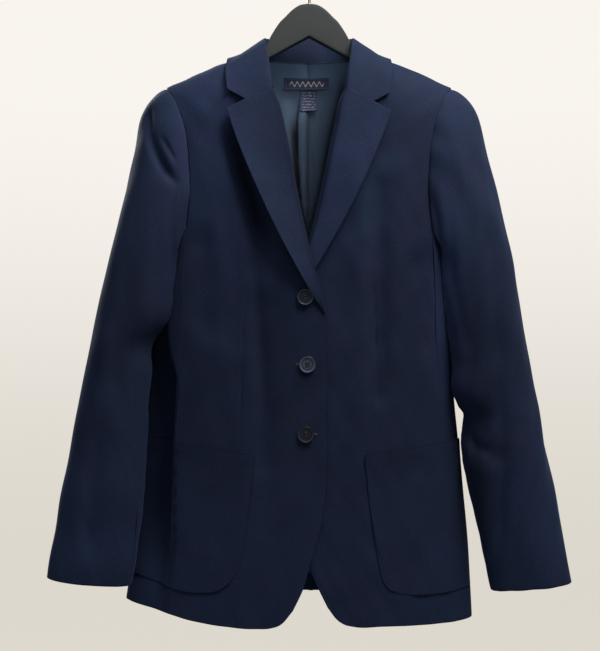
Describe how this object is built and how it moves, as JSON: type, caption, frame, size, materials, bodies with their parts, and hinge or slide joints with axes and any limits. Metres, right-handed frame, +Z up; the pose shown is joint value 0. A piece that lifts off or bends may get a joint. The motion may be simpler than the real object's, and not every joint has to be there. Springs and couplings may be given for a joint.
{
  "type": "blazer on a hanger",
  "caption": "Woman's single breasted blazer in plain navy wool with notched lapels and patch pockets, hanging closed on a flat black hanger.",
  "frame": {"origin": "inside of the hook's bend, where the rail carries it", "axes": "+Z up, the front faces -Y, the wearer's right side is on -X"},
  "size_m": [0.6808, 0.1322, 0.8959],
  "materials": {
    "navy_wool": "matt navy wool suiting, fine plain twill",
    "slate_lining": "slate blue lining with a soft satin sheen",
    "label_tape": "woven navy label tape, blank",
    "button_plastic": "dark navy button plastic, semi-gloss",
    "hanger_plastic": "matt black moulded plastic",
    "hook_brass": "satin pale brass wire"
  },
  "bodies": {
    "root": {"front_right": "navy_wool", "front_left": "navy_wool", "side_panel_right": "navy_wool", "side_panel_left": "navy_wool", "back_right": "navy_wool", "back_left": "navy_wool", "lapel_right": "navy_wool", "lapel_left": "navy_wool", "top_sleeve_right": "navy_wool", "top_sleeve_left": "navy_wool", "under_sleeve_right": "navy_wool", "under_sleeve_left": "navy_wool", "pocket_right": "navy_wool", "pocket_left": "navy_wool", "collar": "navy_wool", "lining_right": "slate_lining", "lining_left": "slate_lining", "neck_label": "label_tape", "size_label": "label_tape", "button_1": "button_plastic", "button_2": "button_plastic", "button_3": "button_plastic", "hanger": "hanger_plastic", "hook": "hook_brass"}
  },
  "joints": []
}
